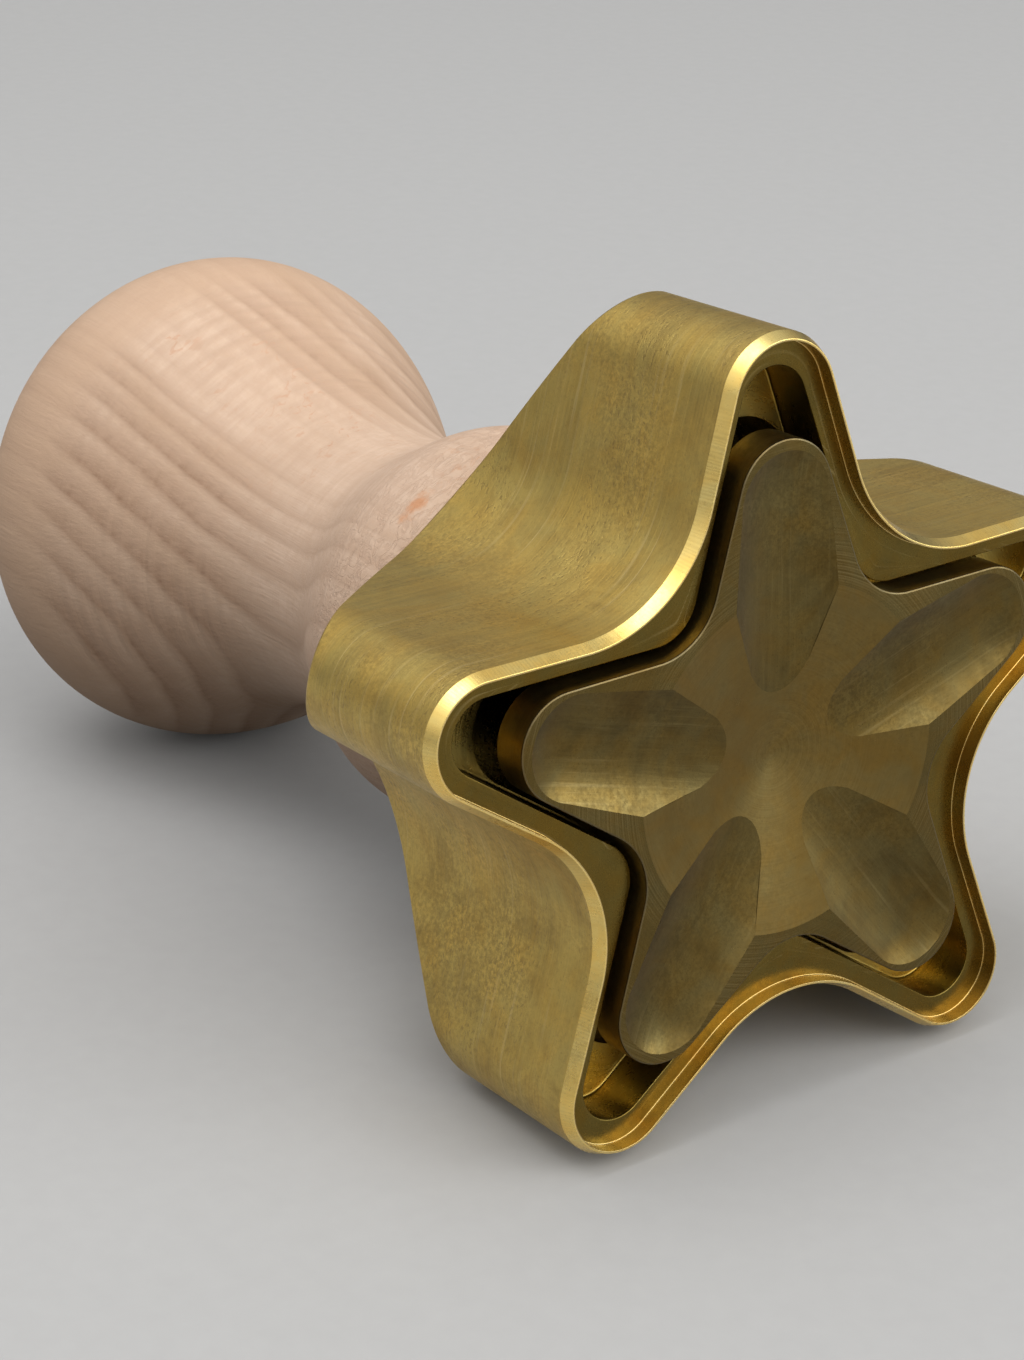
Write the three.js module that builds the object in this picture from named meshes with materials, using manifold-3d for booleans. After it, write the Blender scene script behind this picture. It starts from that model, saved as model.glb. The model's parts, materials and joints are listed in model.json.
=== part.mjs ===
// Star ravioli stamp: a brass cutter with a sprung brass ejector plate on a turned wooden handle.
// Each sub-part is modelled along the tool's axis, in millimetres: the cutting rim lies at z = 0, the working
// face looks along +z and the handle runs back along -z, with one lobe of the star along +x. The whole tool is
// then laid on its side, resting on two lobes and on the knob, with +Z up and the origin under its middle.
import * as THREE from "three";
import { mergeVertices } from "three/addons/utils/BufferGeometryUtils.js";
import Module from "manifold-3d";

// Clearances
const slidingClearance = 0.15;
const seatGap = 0.3;
const pocketClearance = 0.45;

// Ejector plate
const lobeCount = 5;
const ejectorTip = 27.45;
const ejectorTipRound = 4.7;
const ejectorHollow = 15.95;
const ejectorHollowRound = 6.0;
const ejectorThickness = 3.5;
const dishRadius = 15.0;
const dishDepth = 2.7;
const scoopRadius = 11.5;
const scoopReach = 26.45;
const scoopEndDepth = 0.91;
const scoopSlope = 0.046;
const bossRadius = 5.8;
const bossLength = 5.5;
const bossFloor = 0.8;

// Cutter rim, ledge and pocket
const lobeWell = 5.65;
const wellRound = 3.3;
const pocketHollowRound = 4.1;
const shelfDepth = 6.1;
const ledgeAtTip = 2.2;
const ledgeAtHollow = 4.1;
const ledgeDepth = 1.45;
const rimLand = 0.2;
const bevelWidth = 0.5;
const bevelHeight = 1.15;
const rimTipRound = 5.55;
const rimHollowRound = 12.05;

// Cutter walls, back and bores
const lobeWallLength = 18.0;
const backSlope = 0.88;
const backMargin = 0.5;
const webThickness = 9.0;
const ejectorTravel = 8.0;
const cavityEndGap = 1.0;

// Spring
const wireDiameter = 1.0;
const springMeanRadius = 6.7;
const springTurns = 8.5;
const springBoreClearance = 0.8;
const washerThickness = 1.0;

// Stem, nuts and stop washer
const stemRadius = 2.5;
const nutAcrossFlats = 8.0;
const jamNutThickness = 2.7;
const stopNutThickness = 4.5;
const stopWasherRadius = 5.2;
const stemPastNut = 2.0;

// Stud and insert that join the handle to the cutter
const studRadius = 5.0;
const studInHandle = 13.0;
const insertWall = 2.0;
const insertLength = 11.5;
const chamberClearance = 1.0;
const chamberEndGap = 2.0;

// Turned handle
const collarFrontRadius = 16.4;
const collarRadius = 18.6;
const collarToFront = 7.3;
const neckRadius = 14.0;
const neckToCollar = 14.2;
const knobRadius = 25.1;
const knobToNeck = 37.3;
const knobFullness = 1.3;
const knobEndLength = 15.0;

// Facets
const arcSteps = 4;
const turnedFacets = 48;
const smallFacets = 24;
const wireFacets = 6;
const stepsPerTurn = 14;

// Sizes that follow from the ones above
const rimWidth = rimLand + bevelWidth;
const pocketTip = ejectorTip + lobeWell;
const pocketHollow = ejectorHollow + pocketClearance;
const rimTip = pocketTip + ledgeAtTip + rimWidth;
const rimHollow = pocketHollow + ledgeAtHollow + rimWidth;
const backRadius = collarFrontRadius + backMargin;
const backDepth = lobeWallLength + backSlope * (rimTip - backRadius);
const cavityDepth = ejectorThickness + ejectorTravel + cavityEndGap;
const springBoreRadius = springMeanRadius + wireDiameter / 2 + springBoreClearance;
const springBoreDepth = backDepth - webThickness;
const stemHoleRadius = stemRadius + slidingClearance;
const bossDepth = ejectorThickness + bossLength;
const washerFront = springBoreDepth - seatGap - washerThickness;
const studFront = springBoreDepth + seatGap;
const studBack = backDepth + studInHandle;
const handleFront = backDepth + seatGap;
const insertBoreRadius = studRadius + slidingClearance;
const insertRadius = insertBoreRadius + insertWall;
const insertFront = handleFront + seatGap;
const insertBack = insertFront + insertLength;
const stopWasherFront = studBack + seatGap;
const stopNutFront = stopWasherFront + washerThickness + seatGap;
const stemBack = stopNutFront + stopNutThickness + stemPastNut;
const chamberRadius = stopWasherRadius + chamberClearance;
const chamberBack = stemBack + ejectorTravel + chamberEndGap;
const collarDepth = handleFront + collarToFront;
const neckDepth = collarDepth + neckToCollar;
const knobDepth = neckDepth + knobToNeck;
const handleBack = knobDepth + knobEndLength;

// How far cutting shapes reach past the faces that they cut
const overshoot = 5;

const brass = new THREE.MeshStandardMaterial({ color: 0x9c8647, roughness: 0.42, metalness: 1 });
const darkBrass = new THREE.MeshStandardMaterial({ color: 0x86723c, roughness: 0.45, metalness: 1 });
const steel = new THREE.MeshStandardMaterial({ color: 0xb9bcc0, roughness: 0.35, metalness: 1 });
const beech = new THREE.MeshStandardMaterial({ color: 0xcdae94, roughness: 0.8, metalness: 0 });

const wasm = await Module();
wasm.setup();

// A closed three.js geometry as a solid that can be joined and cut.
function solid(geometry) {
  const bare = geometry.clone();
  bare.deleteAttribute("normal");
  bare.deleteAttribute("uv");
  const merged = mergeVertices(bare, 1e-4);
  return new wasm.Manifold(
    new wasm.Mesh({
      numProp: 3,
      vertProperties: merged.attributes.position.array,
      triVerts: new Uint32Array(merged.index.array),
    }),
  );
}

// A solid as a named mesh.
function piece(name, body, material) {
  const cut = body.getMesh();
  const geometry = new THREE.BufferGeometry();
  geometry.setAttribute("position", new THREE.BufferAttribute(cut.vertProperties, 3));
  geometry.setIndex(new THREE.BufferAttribute(cut.triVerts, 1));
  geometry.computeVertexNormals();
  const mesh = new THREE.Mesh(geometry, material);
  mesh.name = name;
  return mesh;
}

// Star outline: lobe tips and hollows are arcs, joined by the straight lines that touch both.
function starShape(tip, tipRound, hollow, hollowRound) {
  const step = (2 * Math.PI) / lobeCount;
  const tipCentre = new THREE.Vector2(tip - tipRound, 0);
  const hollowCentre = new THREE.Vector2(hollow + hollowRound, 0).rotateAround(new THREE.Vector2(), step / 2);
  const between = hollowCentre.clone().sub(tipCentre);
  const normal = between.angle() - Math.acos((tipRound + hollowRound) / between.length());
  const shape = new THREE.Shape();
  for (let lobe = 0; lobe < lobeCount; lobe += 1) {
    const turn = lobe * step;
    const t = tipCentre.clone().rotateAround(new THREE.Vector2(), turn);
    const h = hollowCentre.clone().rotateAround(new THREE.Vector2(), turn);
    shape.absarc(t.x, t.y, tipRound, turn - normal, turn + normal, false);
    shape.absarc(h.x, h.y, hollowRound, turn + normal + Math.PI, turn + step - normal + Math.PI, true);
  }
  return shape;
}

// Star prism between two depths below the rim.
function starPrism(shape, front, back) {
  const geometry = new THREE.ExtrudeGeometry(shape, {
    depth: back - front,
    bevelEnabled: false,
    curveSegments: arcSteps,
  });
  return solid(geometry.translate(0, 0, -back));
}

// Solid of revolution about the tool's axis from [radius, depth] points, listed from front to back outside.
function turned(points, facets) {
  const profile = points.map(([radius, depth]) => new THREE.Vector2(radius, -depth)).reverse();
  return solid(new THREE.LatheGeometry(profile, facets).rotateX(Math.PI / 2));
}

// Plain round bar between two depths.
function bar(radius, front, back, facets = smallFacets) {
  return turned([[0, front], [radius, front], [radius, back], [0, back]], facets);
}

// Round tube between two depths.
function tube(inner, outer, front, back) {
  return bar(outer, front, back).subtract(bar(inner, front - overshoot, back + overshoot));
}

// Hexagon nut with a plain hole.
function nut(front, back) {
  const cornerRadius = nutAcrossFlats / Math.sqrt(3);
  const hole = bar(stemHoleRadius, front - overshoot, back + overshoot);
  return bar(cornerRadius, front, back, 6).subtract(hole);
}

// Star cutter: bevelled rim, sealing ledge, pocket with shelves, ejector cavity, spring bore and conical back.
function cutterBody() {
  const rimShape = starShape(rimTip, rimTipRound, rimHollow, rimHollowRound);
  const walls = new THREE.ExtrudeGeometry(rimShape, {
    depth: backDepth,
    bevelThickness: bevelHeight,
    bevelSize: bevelWidth,
    bevelOffset: -bevelWidth,
    bevelSegments: 1,
    curveSegments: arcSteps,
  });
  walls.translate(0, 0, -backDepth - bevelHeight);
  const coneFoot = rimTip + overshoot;
  const back = turned(
    [
      [0, -overshoot],
      [coneFoot, -overshoot],
      [coneFoot, lobeWallLength - backSlope * overshoot],
      [backRadius, backDepth],
      [0, backDepth],
    ],
    turnedFacets,
  );
  const ledge = starShape(rimTip - rimWidth, rimTipRound - rimWidth, rimHollow - rimWidth, rimHollowRound + rimWidth);
  const pocket = starShape(pocketTip, wellRound, pocketHollow, pocketHollowRound);
  const cavity = starShape(
    ejectorTip + pocketClearance,
    ejectorTipRound + pocketClearance,
    ejectorHollow + pocketClearance,
    ejectorHollowRound - pocketClearance,
  );
  return solid(walls)
    .intersect(back)
    .subtract(starPrism(ledge, -overshoot, ledgeDepth))
    .subtract(starPrism(pocket, -overshoot, shelfDepth))
    .subtract(starPrism(cavity, -overshoot, cavityDepth))
    .subtract(bar(springBoreRadius, 0, springBoreDepth, turnedFacets))
    .subtract(bar(studRadius + slidingClearance, 0, backDepth + overshoot));
}

// One scoop: the path of a ball-nosed cutter that runs from the middle out and slowly rises.
function scoop(lobe) {
  const endWidth = Math.sqrt(scoopRadius ** 2 - (scoopRadius - scoopEndDepth) ** 2);
  const endX = scoopReach - endWidth;
  const endZ = scoopRadius - scoopEndDepth;
  const rise = Math.atan(scoopSlope);
  const length = endX / Math.cos(rise);
  const ball = new THREE.CapsuleGeometry(scoopRadius, length, turnedFacets / 2, turnedFacets * 2);
  ball.rotateZ(-Math.PI / 2);
  ball.rotateY(-rise);
  ball.translate(endX / 2, 0, endZ - (endX / 2) * scoopSlope);
  ball.rotateZ((lobe * 2 * Math.PI) / lobeCount);
  return solid(ball);
}

// Ejector plate: star with a dished centre, five scoops and a drilled boss on its back.
function ejectorPlate() {
  const outline = starShape(ejectorTip, ejectorTipRound, ejectorHollow, ejectorHollowRound);
  const dishTop = dishRadius * (1 + overshoot / dishDepth);
  const dish = turned([[0, -overshoot], [dishTop, -overshoot], [0, dishDepth]], turnedFacets);
  let plate = starPrism(outline, 0, ejectorThickness)
    .add(bar(bossRadius, ejectorThickness - bossFloor, bossDepth))
    .subtract(bar(stemHoleRadius, ejectorThickness + bossFloor, bossDepth + overshoot))
    .subtract(dish);
  for (let lobe = 0; lobe < lobeCount; lobe += 1) {
    plate = plate.subtract(scoop(lobe));
  }
  return plate;
}

// Helix of the spring's wire about the tool's axis.
class Helix extends THREE.Curve {
  constructor(radius, front, back, turns) {
    super();
    Object.assign(this, { radius, front, back, turns });
  }

  getPoint(t, target = new THREE.Vector3()) {
    const angle = 2 * Math.PI * this.turns * t;
    const depth = this.front + (this.back - this.front) * t;
    return target.set(this.radius * Math.cos(angle), this.radius * Math.sin(angle), -depth);
  }
}

// Compression spring between the plate's back and its seat washer.
function ejectorSpring() {
  const wireRadius = wireDiameter / 2;
  const section = new THREE.Shape();
  section.absarc(0, 0, wireRadius, 0, 2 * Math.PI, false);
  const front = ejectorThickness + seatGap + wireRadius;
  const back = washerFront - seatGap - wireRadius;
  const wire = new THREE.ExtrudeGeometry(section, {
    extrudePath: new Helix(springMeanRadius, front, back, springTurns),
    steps: Math.round(springTurns * stepsPerTurn),
    curveSegments: wireFacets / 2,
  });
  return solid(wire);
}

// Turned handle: a rounded collar, a waisted neck and a domed knob, with a stepped bore from its front.
function woodenHandle() {
  const swell = (from, to, share) => from + ((to - from) * (1 - Math.cos(Math.PI * share))) / 2;
  const profile = [
    [0, chamberBack],
    [chamberRadius, chamberBack],
    [chamberRadius, insertBack + seatGap],
    [insertRadius + slidingClearance, insertBack + seatGap],
    [insertRadius + slidingClearance, handleFront],
    [collarFrontRadius, handleFront],
  ];
  const collarSteps = 4;
  for (let i = 1; i < collarSteps; i += 1) {
    const angle = (i / collarSteps) * (Math.PI / 2);
    const radius = collarFrontRadius + (collarRadius - collarFrontRadius) * Math.sin(angle);
    profile.push([radius, handleFront + collarToFront * (1 - Math.cos(angle))]);
  }
  const neckSteps = 8;
  for (let i = 0; i < neckSteps; i += 1) {
    const share = i / neckSteps;
    profile.push([swell(collarRadius, neckRadius, share), collarDepth + neckToCollar * share]);
  }
  const knobSteps = 10;
  for (let i = 0; i < knobSteps; i += 1) {
    const share = i / knobSteps;
    profile.push([swell(neckRadius, knobRadius, share ** knobFullness), neckDepth + knobToNeck * share]);
  }
  const endSteps = 9;
  for (let i = 0; i < endSteps; i += 1) {
    const angle = (i / endSteps) * (Math.PI / 2);
    profile.push([knobRadius * Math.cos(angle), knobDepth + knobEndLength * Math.sin(angle)]);
  }
  profile.push([0, handleBack]);
  return turned(profile, turnedFacets);
}

const cutter = piece("cutter_body", cutterBody(), brass);
const handle = piece("wooden_handle", woodenHandle(), beech);
const plate = piece("ejector_plate", ejectorPlate(), darkBrass);
const stemFront = ejectorThickness + bossFloor + seatGap;
const jamNutFront = bossDepth + seatGap;
const stopNutBack = stopNutFront + stopNutThickness;
const insertBody = tube(insertBoreRadius, insertRadius, insertFront, insertBack);
const studBody = tube(stemHoleRadius, studRadius, studFront, studBack);
const stopWasherBody = tube(stemHoleRadius, stopWasherRadius, stopWasherFront, stopWasherFront + washerThickness);
const seatWasherRadius = springBoreRadius - seatGap;
const seatWasherHole = stemRadius + seatGap;
const seatWasherBody = tube(seatWasherHole, seatWasherRadius, washerFront, washerFront + washerThickness);

const stamp = new THREE.Group();
stamp.add(
  cutter,
  handle,
  plate,
  piece("ejector_stem", bar(stemRadius, stemFront, stemBack), steel),
  piece("stem_jam_nut", nut(jamNutFront, jamNutFront + jamNutThickness), steel),
  piece("ejector_spring", ejectorSpring(), steel),
  piece("spring_seat_washer", seatWasherBody, steel),
  piece("handle_stud", studBody, steel),
  piece("handle_insert", insertBody, brass),
  piece("stop_washer", stopWasherBody, steel),
  piece("stop_nut", nut(stopNutFront, stopNutBack), steel),
);

// Axes of the tool when it lies with its working face raised by a tilt: up lobe, side and working face.
function lyingAxes(tilt) {
  const up = new THREE.Vector3(-Math.sin(tilt), 0, Math.cos(tilt));
  const side = new THREE.Vector3(0, -1, 0);
  const face = new THREE.Vector3(Math.cos(tilt), 0, Math.sin(tilt));
  return new THREE.Matrix4().makeBasis(up, side, face);
}

// Height of a mesh's lowest point when the tool lies at a tilt.
function lowest(mesh, tilt) {
  const geometry = mesh.geometry.clone().applyMatrix4(lyingAxes(tilt));
  geometry.computeBoundingBox();
  return geometry.boundingBox.min.z;
}

// The tilt at which knob and cutter touch the table together, found by halving.
function restingTilt() {
  let low = -Math.PI / 6;
  let high = Math.PI / 6;
  for (let i = 0; i < 50; i += 1) {
    const middle = (low + high) / 2;
    if (lowest(handle, middle) > lowest(cutter, middle)) {
      low = middle;
    } else {
      high = middle;
    }
  }
  return (low + high) / 2;
}

stamp.setRotationFromMatrix(lyingAxes(restingTilt()));
const box = new THREE.Box3().setFromObject(stamp, true);
const centre = box.getCenter(new THREE.Vector3());
stamp.position.set(-centre.x, -centre.y, -box.min.z);

const ravioliStamp = new THREE.Group();
ravioliStamp.add(stamp);

export default ravioliStamp;
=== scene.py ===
"""Looks of the star ravioli stamp: fine meshes, materials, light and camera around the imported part.

Meshes are modelled in the tool's own frame, in millimetres: the cutting rim lies at z = 0, the working face
looks along +z, the handle runs back along -z and one lobe of the star points along +x, which is up.
"""

import json
from math import acos, atan2, cos, pi, radians, sin, sqrt, tau

import bmesh
import bpy
import numpy as np
from mathutils import Euler, Matrix, Vector


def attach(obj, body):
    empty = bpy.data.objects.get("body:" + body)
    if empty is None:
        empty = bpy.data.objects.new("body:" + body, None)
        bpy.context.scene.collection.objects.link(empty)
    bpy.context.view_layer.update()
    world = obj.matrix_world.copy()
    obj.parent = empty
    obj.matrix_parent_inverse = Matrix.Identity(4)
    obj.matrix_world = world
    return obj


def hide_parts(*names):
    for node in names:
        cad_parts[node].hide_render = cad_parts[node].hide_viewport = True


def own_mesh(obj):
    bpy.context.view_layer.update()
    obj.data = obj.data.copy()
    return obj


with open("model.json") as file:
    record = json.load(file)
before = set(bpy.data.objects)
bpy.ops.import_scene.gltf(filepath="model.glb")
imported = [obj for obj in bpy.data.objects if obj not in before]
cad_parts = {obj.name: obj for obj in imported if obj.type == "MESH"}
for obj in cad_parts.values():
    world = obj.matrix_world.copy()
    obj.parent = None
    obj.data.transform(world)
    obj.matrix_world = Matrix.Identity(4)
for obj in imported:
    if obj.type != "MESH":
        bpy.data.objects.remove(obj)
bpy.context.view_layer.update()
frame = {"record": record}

MM = 0.001

# Clearances
SLIDING = 0.15
SEAT_GAP = 0.3
POCKET_CLEARANCE = 0.45

# Ejector plate
LOBES = 5
PLATE_TIP = 27.45
PLATE_TIP_ROUND = 4.7
PLATE_HOLLOW = 15.95
PLATE_HOLLOW_ROUND = 6.0
PLATE_THICKNESS = 3.5
PLATE_EDGE = 0.16
DISH_RADIUS = 15.0
DISH_DEPTH = 2.7
DISH_EASE = 1.2
SCOOP_RADIUS = 11.5
SCOOP_REACH = 26.45
SCOOP_END_DEPTH = 0.91
SCOOP_SLOPE = 0.046
BOSS_RADIUS = 5.8
BOSS_LENGTH = 5.5
BOSS_FLOOR = 0.8
BOSS_FILLET = 0.6
BOSS_EDGE = 0.3
BOSS_HOLE_EDGE = 0.2

# Cutter
POCKET_TIP = 33.1
POCKET_TIP_ROUND = 3.3
POCKET_HOLLOW = 16.4
POCKET_HOLLOW_ROUND = 4.1
SHELF_DEPTH = 6.1
LEDGE_DEPTH = 1.45
LEDGE_FILLET = 0.08
LEDGE_STRIP = 1.2
RIM_LAND = 0.2
LAND_ROUND = 0.05
BEVEL_ROUND = 0.07
BEVEL_WIDTH = 0.5
BEVEL_HEIGHT = 1.15
RIM_TIP = 36.0
RIM_TIP_ROUND = 5.55
RIM_HOLLOW = 21.2
RIM_HOLLOW_ROUND = 12.05
LOBE_WALL = 18.0
BACK_SLOPE = 0.88
BACK_RADIUS = 16.9
BACK_EDGE = 0.25
BACK_CORNER = 0.2
POCKET_LIP = 0.4
POCKET_ROUND = 0.1
SHELF_ROUND = 0.2
SHELF_STRIP = 0.3
CAVITY_EDGE = 0.1
BORE_CHAMFER = 0.3
HOLE_CHAMFER = 0.4
WEB = 9.0
TRAVEL = 8.0
PAST_TRAVEL = 1.0

# Spring, stem, nuts, stud and insert
WIRE = 1.0
SPRING_RADIUS = 6.7
SPRING_TURNS = 8.5
SPRING_BORE = 8.0
WASHER = 1.0
STEM_RADIUS = 2.5
NUT_FLATS = 8.0
JAM_NUT = 2.7
STOP_NUT = 4.5
STOP_WASHER_RADIUS = 5.2
STEM_PAST_NUT = 2.0
STUD_RADIUS = 5.0
STUD_IN_HANDLE = 13.0
INSERT_WALL = 2.0
INSERT_LENGTH = 11.5
STEM_PITCH = 0.8
STEM_CUT = 0.45
STEM_CHAMFER = 0.3
THREAD_PAST_NUT = 2.0
THREAD_RUN_IN = 0.1
THREAD_RUN_OUT = 0.7
POLISHED_OFF = 0.02
STUD_PITCH = 1.5
STUD_CUT = 0.7
STUD_EASED = 0.5
INSERT_PITCH = 2.5
INSERT_CUT = 0.8
INSERT_EASED = 0.6
THREAD_MARGIN = 0.3
TUBE_EDGE = 0.15
NUT_SUNK = 0.35
NUT_EDGE = 0.1
NUT_BREAK = 0.06
NUT_CHAMFER = 0.55
CLOSED_COIL = 1.05
CHAMBER_CLEARANCE = 1.0
CHAMBER_PAST_TRAVEL = 2.0

# Turned handle
COLLAR_FRONT = 16.4
COLLAR_RADIUS = 18.6
COLLAR_TO_FRONT = 7.3
NECK_RADIUS = 14.0
NECK_TO_COLLAR = 14.2
KNOB_RADIUS = 25.1
KNOB_TO_NECK = 37.3
KNOB_FULLNESS = 1.3
KNOB_END = 15.0

# Finish: how the wood's grain lies, its rings and rays, pitch of tool marks and width of worn edges, whose
# lighter tone is partly a painted highlight
GRAIN_LIE = Euler((0, 0.046, radians(59.8)))
RING_WIDTH = 2.62
RING_START = 1.5
RAY_FLECK = Vector((14.85, 10.4, -38.5))
RAY_FLECK_REACH = Vector((2.4, 1.1, 0.8))
SANDED_FROM = 85.0
TURNING_PITCH = 1.6
RIDGE_PITCH = 1.1
CHATTER_PITCH = 0.31
FACING_PITCH = 0.16
EDGE_WEAR_AND_HIGHLIGHT = 0.12

# Tints of the thin film that tarnish leaves on brass
WARM_FILM = (1.0, 0.935, 0.70)
COOL_FILM = (0.93, 1.0, 1.0)

# Beech: two base tones, the pale heart, the neck and collar lightened as painted light, the sanded end, and
# what darkens them
BEECH_DULL = (0.435, 0.292, 0.192)
BEECH_BRIGHT = (0.545, 0.392, 0.288)
BEECH_PALE_AND_PAINTED_LIGHT = (0.63, 0.47, 0.358)
BEECH_SANDED = (0.47, 0.315, 0.208)
LATE_WOOD = (0.26, 0.152, 0.092)
RAY_TONE = (0.43, 0.285, 0.195)
FIBRE_TONE = (0.50, 0.335, 0.225)
FLECK_TONE = (0.48, 0.27, 0.165)
PASS_TONE = (0.40, 0.265, 0.18)
TURNED_TONE = (0.46, 0.31, 0.21)
LACE_TONE = (0.43, 0.285, 0.2)
RAY_FLECK_TONE = (0.50, 0.245, 0.125)

# Floor, light and camera, in metres
FLOOR_SIZE = 8
FLOOR_TONES = (0.36, 0.357, 0.352), (0.385, 0.382, 0.377)
FLOOR_BOUNCE = (0.08, 0.079, 0.078)
LIT_POINT = Vector((0.02, 0, 0.03))
COOL_LIGHT = (0.92, 0.97, 1.0)
DOME_LEVELS = (0.0, 0.14), (0.12, 0.28), (0.37, 0.68), (0.6, 1.0), (0.8, 1.1), (1.0, 1.15)
DOME_DIM_SIDE = (-0.34, 0.94, 0)
EYE = Vector((0.23379, -0.15150, 0.14492))
LOOKED_AT = Vector((0.05357, -0.02766, 0.04601))
LENS = 56.34
SENSOR_HEIGHT = 24
ROLL = radians(-0.33)

# Sizes that follow from the ones above
CAVITY_DEPTH = PLATE_THICKNESS + TRAVEL + PAST_TRAVEL
SCOOP_END = SCOOP_REACH - sqrt(SCOOP_RADIUS**2 - (SCOOP_RADIUS - SCOOP_END_DEPTH) ** 2)
BACK_DEPTH = LOBE_WALL + BACK_SLOPE * (RIM_TIP - BACK_RADIUS)
BORE_DEPTH = BACK_DEPTH - WEB
BOSS_DEPTH = PLATE_THICKNESS + BOSS_LENGTH
STEM_HOLE = STEM_RADIUS + SLIDING
STEM_FRONT = PLATE_THICKNESS + BOSS_FLOOR + SEAT_GAP
JAM_NUT_FRONT = BOSS_DEPTH + SEAT_GAP
WASHER_FRONT = BORE_DEPTH - SEAT_GAP - WASHER
STUD_FRONT = BORE_DEPTH + SEAT_GAP
STUD_BACK = BACK_DEPTH + STUD_IN_HANDLE
HANDLE_FRONT = BACK_DEPTH + SEAT_GAP
INSERT_BORE = STUD_RADIUS + SLIDING
INSERT_RADIUS = INSERT_BORE + INSERT_WALL
INSERT_FRONT = HANDLE_FRONT + SEAT_GAP
INSERT_BACK = INSERT_FRONT + INSERT_LENGTH
STOP_WASHER_FRONT = STUD_BACK + SEAT_GAP
STOP_NUT_FRONT = STOP_WASHER_FRONT + WASHER + SEAT_GAP
STEM_BACK = STOP_NUT_FRONT + STOP_NUT + STEM_PAST_NUT
CHAMBER_RADIUS = STOP_WASHER_RADIUS + CHAMBER_CLEARANCE
CHAMBER_BACK = STEM_BACK + TRAVEL + CHAMBER_PAST_TRAVEL
COLLAR_DEPTH = HANDLE_FRONT + COLLAR_TO_FRONT
NECK_DEPTH = COLLAR_DEPTH + NECK_TO_COLLAR
KNOB_DEPTH = NECK_DEPTH + KNOB_TO_NECK

# The tool's frame in the part: up lobe, side and working face, from the rim's mount.
rim_mount = next(m for m in frame["record"]["mounts"] if m["name"] == "cutting_rim")
face = Vector(rim_mount["axis"]).normalized()
side = Vector((0, -1, 0))
up = side.cross(face)
land_middle = RIM_TIP - BEVEL_WIDTH - RIM_LAND / 2
rim_centre = Vector(rim_mount["pos_m"]) - up * land_middle * MM
TOOL = Matrix((up, side, face)).transposed().to_4x4()
TOOL.translation = rim_centre


# Meshes


class Skin:
    """Collects the faces of one piece, in millimetres, with texture lengths, materials and patches."""

    def __init__(self):
        self.points = []
        self.faces = []
        self.uvs = []
        self.materials = []
        self.patches = []

    def grid(self, rows, us, material, patch=0):
        """Faces between rows of points. The texture's u is given, and its v runs along the columns."""
        rows = [np.asarray(row, float) for row in rows]
        steps = [np.zeros(len(rows[0]))]
        for before, after in zip(rows, rows[1:]):
            steps.append(np.linalg.norm(after - before, axis=1))
        vs = np.cumsum(steps, axis=0)
        first = len(self.points)
        columns = len(rows[0])
        for row in rows:
            self.points.extend(row)
        for i in range(len(rows) - 1):
            chosen = material[i] if isinstance(material, list) else material
            for j in range(columns - 1):
                corners = ((i, j), (i, j + 1), (i + 1, j + 1), (i + 1, j))
                self.faces.append([first + r * columns + c for r, c in corners])
                self.uvs.extend((us[c], vs[r][c]) for r, c in corners)
                self.materials.append(chosen)
                self.patches.append(patch)

    def build(self, name, materials, sharp=35.0):
        """One mesh object in the tool's place, with coinciding points joined and creases marked."""
        mesh = bpy.data.meshes.new(name)
        mesh.from_pydata([Vector(p) * MM for p in self.points], [], self.faces)
        layer = mesh.uv_layers.new(name="UVMap")
        layer.data.foreach_set("uv", np.array(self.uvs, np.float32).ravel())
        mesh.polygons.foreach_set("material_index", self.materials)
        patch = mesh.attributes.new("patch", "INT", "FACE")
        patch.data.foreach_set("value", self.patches)
        shape = bmesh.new()
        shape.from_mesh(mesh)
        bmesh.ops.remove_doubles(shape, verts=shape.verts, dist=0.002 * MM)
        bmesh.ops.recalc_face_normals(shape, faces=shape.faces)
        key = shape.faces.layers.int["patch"]
        for f in shape.faces:
            f.smooth = True
        for edge in shape.edges:
            if len(edge.link_faces) != 2:
                continue
            one, two = edge.link_faces
            angle = edge.calc_face_angle(0)
            crease = one[key] != two[key] and angle > radians(1.5)
            edge.smooth = not (crease or angle > radians(sharp))
        shape.to_mesh(mesh)
        shape.free()
        for material in materials:
            mesh.materials.append(material)
        piece = bpy.data.objects.new(name, mesh)
        bpy.context.scene.collection.objects.link(piece)
        piece.matrix_world = TOOL
        normals = piece.modifiers.new("Normals", "WEIGHTED_NORMAL")
        normals.keep_sharp = True
        return piece


def soften(corners, steps=4):
    """Points of a profile with rounded corners. Each corner is (x, y, how far its rounding reaches)."""
    points = []
    for i, (x, y, reach) in enumerate(corners):
        here = np.array((x, y))
        if reach == 0:
            points.append(here)
            continue
        before = np.array(corners[i - 1][:2]) - here
        after = np.array(corners[i + 1][:2]) - here
        before *= reach / np.linalg.norm(before)
        after *= reach / np.linalg.norm(after)
        for t in np.linspace(0, 1, steps + 1):
            points.append(here + before * (1 - t) ** 2 + after * t**2)
    return points


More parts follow.
